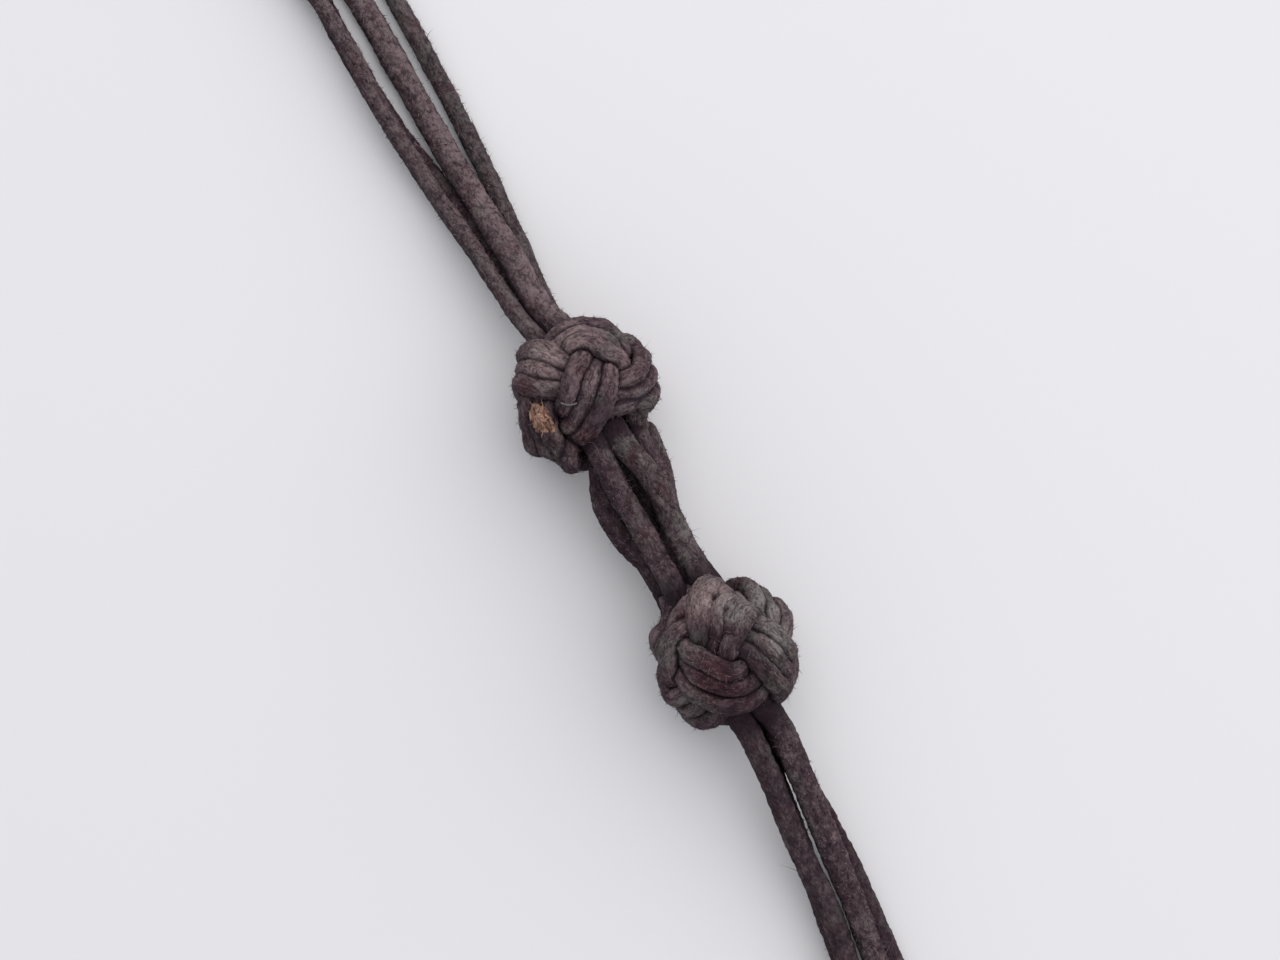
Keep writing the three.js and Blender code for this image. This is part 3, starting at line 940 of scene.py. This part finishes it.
class NECKLACE_OT_lay_strands(bpy.types.Operator):
    """Lay the four cords of the loop"""

    bl_idname = "necklace.lay_strands"
    bl_label = "Lay Strands"

    def execute(self, context):
        cords = context.scene.necklace_cords
        material = waxed_cotton("strand_cord", cords)
        lines = [self.route(strand) for strand in range(len(STRANDS))]
        for strand, (name, shape) in enumerate(STRANDS.items()):
            line = lines[strand]
            widths = self.widths(line, shape["widths"])
            heights = np.minimum(widths, cords.strand_height / MM)
            seed = STRAND_SEED + strand
            surface = cord_surface(line, UP, widths, heights, STRAND_SIDES, seed)
            marks = self.marks(strand, shape, surface[0], lines)
            cord_piece("cord_" + name, line, surface, marks, material, [name])
        return {"FINISHED"}

    def route(self, strand):
        fine = smooth_through(strand_points(strand))
        fine[:, 2] = np.maximum(fine[:, 2], CORD_LYING)
        return respaced(fine, self.stops(fine))

    @staticmethod
    def stops(fine):
        """Where the rings go: close together in the closure, further apart round the neck."""
        along = lengths_along(fine)
        spacing = np.interp(np.abs(fine[:, 0]), STEPS_WIDEN, [FINE_STEP, COARSE_STEP])
        spacing = np.where(fine[:, 1] > CLOSURE_FRONT, spacing, COARSE_STEP)
        steps = np.concatenate([[0.0], np.cumsum(np.diff(along) / spacing[1:])])
        return np.interp(np.arange(int(steps[-1]) + 1), steps, along)

    @staticmethod
    def widths(line, four_widths):
        """A cord's width at each ring: it changes inside ball a, at the front of the loop and
        inside ball b, and is a little wider in the balls' mouths."""
        along = lengths_along(line)
        total = along[-1]
        out_of_a = [LEAVES_BALL - WIDTH_CHANGE, LEAVES_BALL]
        neck = [part * total for part in NECK_CHANGE]
        into_b = [total - LEAVES_BALL, total - LEAVES_BALL + WIDTH_CHANGE]
        stations = [0, *out_of_a, *neck, *into_b, total]
        widths = np.interp(along, stations, np.repeat(four_widths, 2))
        for ball in BALLS.values():
            away = np.linalg.norm(line - np.array(ball["centre"]), axis=1)
            widths *= 1 + MOUTH_WIDENING * eased(away, *reversed(MOUTH_REACH))
        return widths

    def marks(self, strand, shape, skin, lines):
        """What the material reads at each point of a cord's skin."""
        dusty_and_lit, shaded = lit_and_shaded_sides(skin, lines[strand])
        marks = {
            mark: np.interp(skin[..., 0], MARK_STATIONS, np.repeat(shape[mark], (1, 2, 1)))
            for mark in ("dusty_and_lit", "greyed", "shaded")
        }
        # Painted highlight: the side that faces the light is painted paler
        marks["dusty_and_lit"] = marks["dusty_and_lit"] * (UNLIT_SIDE_SHARE + dusty_and_lit) + STRAND_PAINTED_HIGHLIGHT * dusty_and_lit
        # Painted shade: in crevices, at the balls' mouths, on the side away from the light and
        # where the table puts it
        painted_shade = np.maximum(self.painted_shade(strand, skin, lines), STRAND_PAINTED_SHADE * shaded)
        marks["painted_shade"] = np.maximum(painted_shade, marks.pop("shaded"))
        marks["reddened"] = np.zeros(skin.shape[:2])
        return marks

    @staticmethod
    def painted_shade(strand, skin, lines):
        """Painted shade where a cord presses against the others, and where it goes into a ball."""
        painted_shade = np.zeros(skin.shape[:2])
        for other, line in enumerate(lines):
            if other != strand:
                near = (np.abs(line[:, 0]) < SHADE_REACHES) & (line[:, 1] > CLOSURE_FRONT)
                rounds = line[near][::ROUND_EVERY]
                painted_shade = np.maximum(painted_shade, crevices(skin, rounds, 0, *STRAND_CREVICE))
        for name, ball in BALLS.items():
            away = np.linalg.norm(skin - np.array(ball["centre"]), axis=-1)
            painted_shade = np.maximum(painted_shade, 1 - eased(away, *TIGHTENED[name]["mouth_shade"]))
        return painted_shade


class NECKLACE_OT_wind_balls(bpy.types.Operator):
    """Wind the two ball knots"""

    bl_idname = "necklace.wind_balls"
    bl_label = "Wind Balls"

    def execute(self, context):
        cords = context.scene.necklace_cords
        material = waxed_cotton("ball_cord", cords)
        height = cords.ball_cord_height / MM
        laid = weave_points(np.linspace(0, PASSES, LAID_POINTS))
        laid = respaced(laid, np.arange(0, lengths_along(laid)[-1], LAID_STEP))
        for i, (name, ball) in enumerate(BALLS.items()):
            seed = BALL_SEED + 2 * i
            shape = TIGHTENED[name]
            axes = ball_axes(ball)
            centre = np.array(ball["centre"])
            line = self.wound(laid, shape["length"], height, seed)
            outwards = unit(line) @ axes.T
            line = self.drawn(line @ axes.T + centre, shape["drawn"])
            widths = np.full(len(line), cords.ball_cord / MM)
            line, widths = self.swollen(line, widths, shape["swollen"])
            widths, flat = self.pressed(line, widths, shape["pressed"])
            surface = cord_surface(line, outwards, widths, height, BALL_SIDES, seed)
            # Painted shade in the crevices between the rounds, less where rounds are pressed flat
            own = OWN_ROUND / BALL_STEP / ROUND_EVERY
            painted_shade = crevices(surface[0], line[::ROUND_EVERY], own, *BALL_CREVICE)
            painted_shade = painted_shade * (1 - FLAT_IS_LESS_SHADED * flat[:, None])
            low = centre[2] + PRICKED_ABOVE
            skin, painted_shade = self.pricked(surface[0], painted_shade, outwards, shape["pricked"], low)
            marks = self.marks(shape, skin, line, painted_shade)
            surface = (skin, *surface[1:])
            cord_piece("wound_" + name, line, surface, marks, material, [name])
        return {"FINISHED"}

    def wound(self, laid, length, height, seed):
        """The weave of one ball round its own middle, settled, brought to size and with its two
        ends tucked in."""
        along = np.arange(len(laid)) * LAID_STEP
        wobble = [wander_along(along, WOBBLE_REACH, seed + 7 + k) for k in range(3)]
        line = settled(laid + WOBBLE * np.stack(wobble, axis=1))
        line = line * self.fit(line, length, height)
        whole = np.vstack([tucked(line[::-1])[::-1], line, tucked(line)])
        whole = smooth_through(whole, per_span=6)
        return respaced(whole, np.arange(0, lengths_along(whole)[-1], BALL_STEP))

    @staticmethod
    def fit(line, length, height):
        """Factors that bring a ball's line to the ball's length and width."""
        long = np.abs(line[:, 0]).max()
        wide = np.hypot(line[:, 1], line[:, 2]).max()
        across = (BALL_WIDTH - height) / 2 / wide
        return np.array([(length - height) / 2 / long, across, across])

    @staticmethod
    def drawn(line, places):
        """The line with its rounds drawn out of place near the given points."""
        for x, y, z, reach, *move in places:
            away = np.linalg.norm(line - (x, y, z), axis=1)
            line = line + eased(away, reach, INNER_DRAWN * reach)[:, None] * move
        return line

    @staticmethod
    def swollen(line, widths, places):
        """The line and its widths with the cord swollen at the given points."""
        for x, y, z, wider, *move in places:
            away = np.linalg.norm(line - (x, y, z), axis=1)
            near = np.abs(np.arange(len(line)) - away.argmin()) * BALL_STEP
            swell = eased(near, *SWOLLEN_LENGTHS)
            widths = widths * (1 + (wider - 1) * swell)
            line = line + swell[:, None] * move
        return line, widths

    @staticmethod
    def pressed(line, widths, places):
        """The widths of rounds pressed flat near the given points, and how flat they are."""
        flat = np.zeros(len(line))
        for x, y, z, reach, wider in places:
            away = np.linalg.norm(line - (x, y, z), axis=1)
            share = eased(away, reach, INNER_PRESSED * reach)
            widths = widths * (1 + (wider - 1) * share)
            flat = np.maximum(flat, (wider - 1) / FULLY_FLAT * share)
        return widths, flat

    @staticmethod
    def pricked(skin, painted_shade, outwards, places, low):
        """The skin and its painted shade, with a hole dented in at each place and painted dark as
        shade, where the skin isn't too low.
        """
        for x, y in places:
            away = np.hypot(skin[..., 0] - x, skin[..., 1] - y)
            away = away + FAR * (skin[..., 2] < low)
            depth = PRICK_DEPTH * eased(away, *PRICK_RADII)[..., None]
            skin = skin - depth * outwards[:, None]
            painted_shade = np.maximum(painted_shade, PRICK_SHADE * eased(away, *PRICK_SHADE_RADII))
        return skin, painted_shade

    @staticmethod
    def marks(shape, skin, line, painted_shade):
        """What the material reads at each point of a ball's skin."""
        dusty_and_lit, shaded = lit_and_shaded_sides(skin, line)
        marks = {
            mark: spots(skin, shape[mark])
            for mark in ("greyed", "reddened", "dusty_and_lit", "faded_and_lit", "rubbed_and_lit", "shaded")
        }
        # Paleness: the ball's own and its spots', with painted highlight on the side facing the
        # light
        marks["dusty_and_lit"] = shape["paleness"] + SPOT_DUST_AND_LIGHT * marks["dusty_and_lit"] + BALL_PAINTED_HIGHLIGHT * dusty_and_lit
        # Painted shade: the crevices, the pricked hole, the shaded spots and the side away from the
        # light
        painted_shade = np.maximum(painted_shade, SPOT_SHADE * marks.pop("shaded"))
        marks["painted_shade"] = np.maximum(painted_shade, BALL_PAINTED_SHADE * shaded)
        return marks


class NECKLACE_OT_fray_ends(bpy.types.Operator):
    """Fray the ends of the balls' cords"""

    bl_idname = "necklace.fray_ends"
    bl_label = "Fray Ends"

    TUFT = (-9.42, -3.72)
    TUFT_REACH = (0.78, 0.88)  # along the camera's right, and away from it
    TUFT_RISE = 0.3
    CRUMB_LIFTS = (-0.16, 0.16)
    CRUMB_TILTS = (-0.2, 0.25)
    CRUMB_LENGTHS = (0.45, 0.85)
    CRUMB_WIDTHS = (0.28, 0.48)
    CRUMB_TONES = (-1.2, 1.2)
    SHADING_HEIGHT = 0.2  # height in a crumb that paints it one tone paler, as shade and highlight
    THREAD = (-9.15, -1.49)
    THREAD_HALF = 0.55  # half its length
    THREAD_BEND = np.array([-0.12, 0.06])
    THREAD_RISE = 0.07
    THREAD_WIDTH = 0.12
    TIP = [(6.0, -2.1, 4.9), (5.5, -2.05, 5.5), (5.15, -1.98, 6.0), (4.95, -1.92, 6.4)]
    TIP_WIDTH = 0.62

    def execute(self, context):
        ends = context.scene.necklace_ends
        rng = np.random.default_rng(11)
        ball, _ = skin_of(bpy.data.objects["wound_knot_a"])
        tuft = self.tuft(ball, ends, rng)
        self.tuft_fibres(tuft, ends, rng)
        self.thread(ball, ends)
        self.tip(ends)
        return {"FINISHED"}

    def tuft(self, ball, ends, rng):
        """Crumbled strands of the cord's undyed core, in a low heap that follows the ball."""
        middle = on_top(ball, *self.TUFT)
        centre = np.array(BALLS["knot_a"]["centre"])
        up = unit(middle - centre)
        crumbs = [
            self.crumb(middle, centre, up, TUFT_SEED + i, rng) for i in range(ends.tuft_strands)
        ]
        points, faces, straights, heights = [], [], [], []
        for skin, straight, _ in crumbs:
            offset = sum(len(part) for part in points)
            faces += [[offset + k for k in face] for face in grid_faces(*skin.shape[:2])]
            points.append(with_ends(skin, skin[0].mean(axis=0), skin[-1].mean(axis=0)))
            straights.append(with_ends(straight, straight[0, 0], straight[-1, 0]))
            # Each crumb painted darker low down and paler high up, as shade and highlight, with a
            # random tone
            height = (points[-1] - points[-1].mean(axis=0)) @ up / self.SHADING_HEIGHT
            heights.append(height + rng.uniform(*self.CRUMB_TONES))
        bare = bare_cotton("bare_cotton", ends.tuft_dark, ends.tuft_pale)
        tuft = new_piece("frayed_end", np.vstack(points), faces, bare)
        store(tuft, "straight", "FLOAT_VECTOR", np.vstack(straights))
        store(tuft, "relief", "FLOAT", np.concatenate(heights))
        return tuft

    def crumb(self, middle, centre, up, seed, rng):
        """One short curved strand, somewhere in the heap."""
        across, along = rng.uniform(-1, 1, 2)
        out = across**2 + along**2
        root = middle + RIGHT * across * self.TUFT_REACH[0] + AWAY * along * self.TUFT_REACH[1]
        rise = self.TUFT_RISE * (1 - 0.7 * out) + rng.uniform(*self.CRUMB_LIFTS)
        root = centre + unit(root - centre) * (np.linalg.norm(middle - centre) + rise)
        lean = unit(rng.normal(size=3)) * 0.8 + AWAY * rng.choice([-1, 1])
        heading = unit(lean - up * (lean @ up) + up * rng.uniform(*self.CRUMB_TILTS))
        length = rng.uniform(*self.CRUMB_LENGTHS)
        t = np.linspace(-0.5, 0.5, 16)[:, None]
        line = root + heading * length * t - up * 0.5 * length * t**2
        widths = rng.uniform(*self.CRUMB_WIDTHS) * (1 - 0.6 * t[:, 0] ** 2)
        return cord_surface(
            line, up, widths, widths * 0.8, 14, seed, round_end=0.14, relief_scale=0.6)

    @staticmethod
    def tuft_fibres(tuft, ends, rng):
        """Single fibres that stand off the heap."""
        count = ends.tuft_fibres
        points, normals = skin_of(tuft)
        chosen = rng.integers(0, len(points), count)
        directions = unit(normals[chosen] + 0.9 * rng.normal(size=(count, 3)))
        bends = 0.7 * rng.normal(size=(count, 3))
        lengths = rng.uniform(0.12, 0.4, count)
        thickness = rng.uniform(0.04, 0.07, count)
        fibres = fibre_points(points[chosen], directions, bends, lengths, thickness, stops=4)
        material = loose_fibre("frayed_fibre", ends.tuft_pale, ends.lint_colour)
        fibre_piece("frayed_fibres", fibres, rng.uniform(0, 1, count), material)

    def thread(self, ball, ends):
        """A pale thread that lies across one round of ball a."""
        line = []
        for stop in np.linspace(-self.THREAD_HALF, self.THREAD_HALF, 6):
            x, y = self.THREAD + RIGHT[:2] * stop + self.THREAD_BEND * (stop * 2) ** 2
            line.append((x, y, on_top(ball, x, y, 0.13)[2] + self.THREAD_RISE))
        line = smooth_through(line, per_span=5)
        width = self.THREAD_WIDTH
        surface = cord_surface(
            line, UP, width, width, 8, THREAD_SEED, round_end=0.1, relief_scale=0.3)
        thread = loose_fibre("pale_thread", ends.thread_colour, ends.thread_colour)
        cord_piece("pale_thread", line, surface, {}, thread)

    def tip(self, ends):
        """The short end of ball b's cord, which shows at its mouth."""
        line = smooth_through(self.TIP, per_span=8)
        width = self.TIP_WIDTH
        surface = cord_surface(line, UP, width, width * 0.9, 16, TIP_SEED, round_end=0.3)
        cotton = bare_cotton("tip_cotton", ends.tip_dark, ends.tip_pale)
        cord_piece("cord_tip", line, surface, {}, cotton)


class NECKLACE_OT_raise_fuzz(bpy.types.Operator):
    """Raise the loose fibres on every cord"""

    bl_idname = "necklace.raise_fuzz"
    bl_label = "Raise Fuzz"

    FUZZY_FROM = np.array([-46, -10])  # x and y of the closure, where fuzz is dense
    FUZZY_TO = 37  # and where it ends in x
    CLOSURE_CORD = 59  # length of each cord that is counted as the closure's
    NECK_CORD = 550
    OPEN_SHADE_LIMIT = 0.45  # fuzz stands only where less shade is painted
    LONGER_EVERY = 20
    LOWEST = 0.01

    def execute(self, context):
        rng = np.random.default_rng(7)
        cords = context.scene.necklace_cords
        fuzz = loose_fibre("fuzz", cords.fuzz_dark, cords.fuzz_pale)
        in_closure = int(self.CLOSURE_CORD * cords.fuzz_per_mm)
        round_neck = int(self.NECK_CORD * cords.neck_fuzz_per_mm)
        roots = []
        for name in STRANDS:
            points, normals = self.open_skin("cord_" + name)
            closure = (points[:, :2] > self.FUZZY_FROM).all(axis=1) & (points[:, 0] < self.FUZZY_TO)
            for place, count in ((closure, in_closure), (~closure, round_neck)):
                chosen = rng.choice(np.flatnonzero(place), count)
                roots.append((points[chosen], normals[chosen]))
        self.raise_on("fuzz_strand", roots, fuzz, "strand_cord", rng)
        for name in BALLS:
            points, normals = self.open_skin("wound_" + name)
            chosen = rng.choice(len(points), cords.ball_fuzz)
            roots = [(points[chosen], normals[chosen])]
            self.raise_on("fuzz_" + name, roots, fuzz, "ball_cord", rng)
        return {"FINISHED"}

    def open_skin(self, name):
        """The points of a cord's skin where little shade is painted, and their normals."""
        piece = bpy.data.objects[name]
        painted_shade = np.empty(len(piece.data.vertices), np.float32)
        piece.data.attributes["painted_shade"].data.foreach_get("value", painted_shade)
        points, normals = skin_of(piece)
        return points[painted_shade < self.OPEN_SHADE_LIMIT], normals[painted_shade < self.OPEN_SHADE_LIMIT]

    def raise_on(self, name, roots, material, slot, rng):
        """Short curled fibres that lie close to the cords, with a longer one here and there."""
        points, normals = (np.vstack(part) for part in zip(*roots))
        count = len(points)
        stands = rng.uniform(0.05, 0.75, (count, 1))
        along = unit(np.cross(normals, rng.normal(size=(count, 3))))
        directions = unit(normals * stands + along)
        bends = 0.5 * rng.normal(size=(count, 3)) - 0.35 * normals
        lengths = rng.uniform(0.14, 0.42, count)
        lengths[:: self.LONGER_EVERY] *= 2.0
        thickness = rng.uniform(0.035, 0.07, count)
        points, faces = fibre_points(points, directions, bends, lengths, thickness, stops=2)
        points[:, 2] = np.maximum(points[:, 2], self.LOWEST)
        tones = rng.uniform(0, 1, count) ** 1.5
        fibre_piece(name, (points, faces), tones, material)


class NECKLACE_OT_set_stage(bpy.types.Operator):
    """Set the floor, the lights and the camera"""

    bl_idname = "necklace.set_stage"
    bl_label = "Set Stage"

    AIM = np.array([-3.01, 78.75, 5.0])  # the point in the frame that the camera and light face
    VIEW_WIDTH = 87.7  # of what the camera sees at that point
    FLOOR_DROP = 0.05  # keeps the floor clear of the cords that lie on it
    SKY_COLOUR = (0.95, 0.97, 1, 1)
    KEY_COLOUR = (1, 0.985, 0.97)
    KEY_FROM = RIGHT * 0.6 + AWAY * 0.85 + UP * 1.15
    KEY_SIZE = 1.3  # in metres, as is its distance
    KEY_DISTANCE = 0.65

    def execute(self, context):
        stage = context.scene.necklace_stage
        self.floor(stage)
        self.lights(context.scene, stage)
        self.camera(context.scene, stage)
        context.scene.view_settings.view_transform = "Standard"
        return {"FINISHED"}

    def floor(self, stage):
        bpy.ops.object.select_all(action="DESELECT")
        place = (0, 0, -self.FLOOR_DROP * MM)
        bpy.ops.mesh.primitive_plane_add(size=stage.floor_size, location=place)
        floor = bpy.context.object
        floor.name = "floor"
        floor.data.materials.append(plain_floor("floor", stage.floor_colour))

    def lights(self, scene, stage):
        world = bpy.data.worlds.new("sky")
        world.use_nodes = True
        sky = world.node_tree.nodes["Background"]
        sky.inputs["Color"].default_value = self.SKY_COLOUR
        sky.inputs["Strength"].default_value = stage.sky
        scene.world = world

        key = bpy.data.lights.new("key", "AREA")
        key.energy = stage.key_power
        key.size = self.KEY_SIZE
        key.color = self.KEY_COLOUR
        lamp = bpy.data.objects.new("key", key)
        direction = Vector(unit(self.KEY_FROM))
        lamp.location = Vector(self.AIM * MM) + direction * self.KEY_DISTANCE
        lamp.rotation_euler = direction.to_track_quat("Z", "Y").to_euler()
        lamp.visible_camera = False
        scene.collection.objects.link(lamp)

    def camera(self, scene, stage):
        camera = bpy.data.cameras.new("camera")
        camera.lens = stage.focal_length
        camera.sensor_width = 36
        camera.clip_start = 5 * MM
        camera.clip_end = 20
        back = UP * math.sin(stage.elevation) - AWAY * math.cos(stage.elevation)
        distance = self.VIEW_WIDTH * camera.lens / camera.sensor_width
        place = (self.AIM + back * distance) * MM
        axes = Matrix([RIGHT, np.cross(back, RIGHT), back]).transposed()
        rig = bpy.data.objects.new("camera", camera)
        rig.matrix_world = Matrix.Translation(place) @ axes.to_4x4()
        scene.collection.objects.link(rig)
        scene.camera = rig


class NECKLACE_PT_panel(bpy.types.Panel):
    """Sizes, colours and steps of the necklace"""

    bl_label = "Ball Knot Necklace"
    bl_space_type = "VIEW_3D"
    bl_region_type = "UI"
    bl_category = "Necklace"

    def draw(self, context):
        scene = context.scene
        for group in (scene.necklace_cords, scene.necklace_ends, scene.necklace_stage):
            for name in group.__annotations__:
                self.layout.prop(group, name)
        for operator in OPERATORS:
            self.layout.operator(operator.bl_idname)


OPERATORS = (
    NECKLACE_OT_lay_strands,
    NECKLACE_OT_wind_balls,
    NECKLACE_OT_fray_ends,
    NECKLACE_OT_raise_fuzz,
    NECKLACE_OT_set_stage,
)
CLASSES = (CordSettings, EndSettings, StageSettings, *OPERATORS, NECKLACE_PT_panel)


def register():
    for cls in CLASSES:
        bpy.utils.register_class(cls)
    bpy.types.Scene.necklace_cords = PointerProperty(type=CordSettings)
    bpy.types.Scene.necklace_ends = PointerProperty(type=EndSettings)
    bpy.types.Scene.necklace_stage = PointerProperty(type=StageSettings)


def unregister():
    del bpy.types.Scene.necklace_stage
    del bpy.types.Scene.necklace_ends
    del bpy.types.Scene.necklace_cords
    for cls in reversed(CLASSES):
        bpy.utils.unregister_class(cls)


def main():
    register()
    bpy.ops.necklace.lay_strands()
    bpy.ops.necklace.wind_balls()
    bpy.ops.necklace.fray_ends()
    bpy.ops.necklace.raise_fuzz()
    bpy.ops.necklace.set_stage()


if __name__ == "__main__":
    main()
